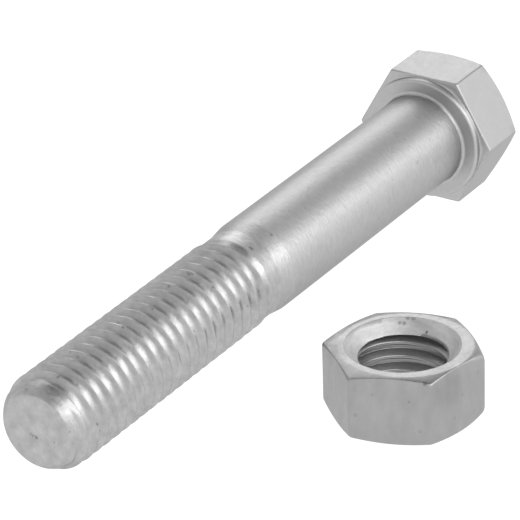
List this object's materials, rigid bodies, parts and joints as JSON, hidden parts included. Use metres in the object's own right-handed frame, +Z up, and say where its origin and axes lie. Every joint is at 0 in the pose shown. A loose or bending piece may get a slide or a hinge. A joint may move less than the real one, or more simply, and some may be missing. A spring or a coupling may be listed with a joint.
{
  "type": "hexagon bolt and nut",
  "caption": "Partly threaded hexagon bolt with a washer face and a small hexagon head, lying on its side, with its countersunk hexagon nut off and flat beside it.",
  "frame": {"origin": "middle of the underside of the box that holds the bolt and the nut as they lie on a floor", "axes": "+X along the floor under the bolt, from its tip to its head, +Z up off the floor, and the nut lies to -Y of the bolt"},
  "size_m": [0.0758, 0.0378, 0.0139],
  "materials": {
    "bolt_steel": "zinc plated, satin",
    "nut_steel": "zinc plated, dull"
  },
  "bodies": {
    "root": {"bolt": "bolt_steel", "nut": "nut_steel"}
  },
  "joints": []
}
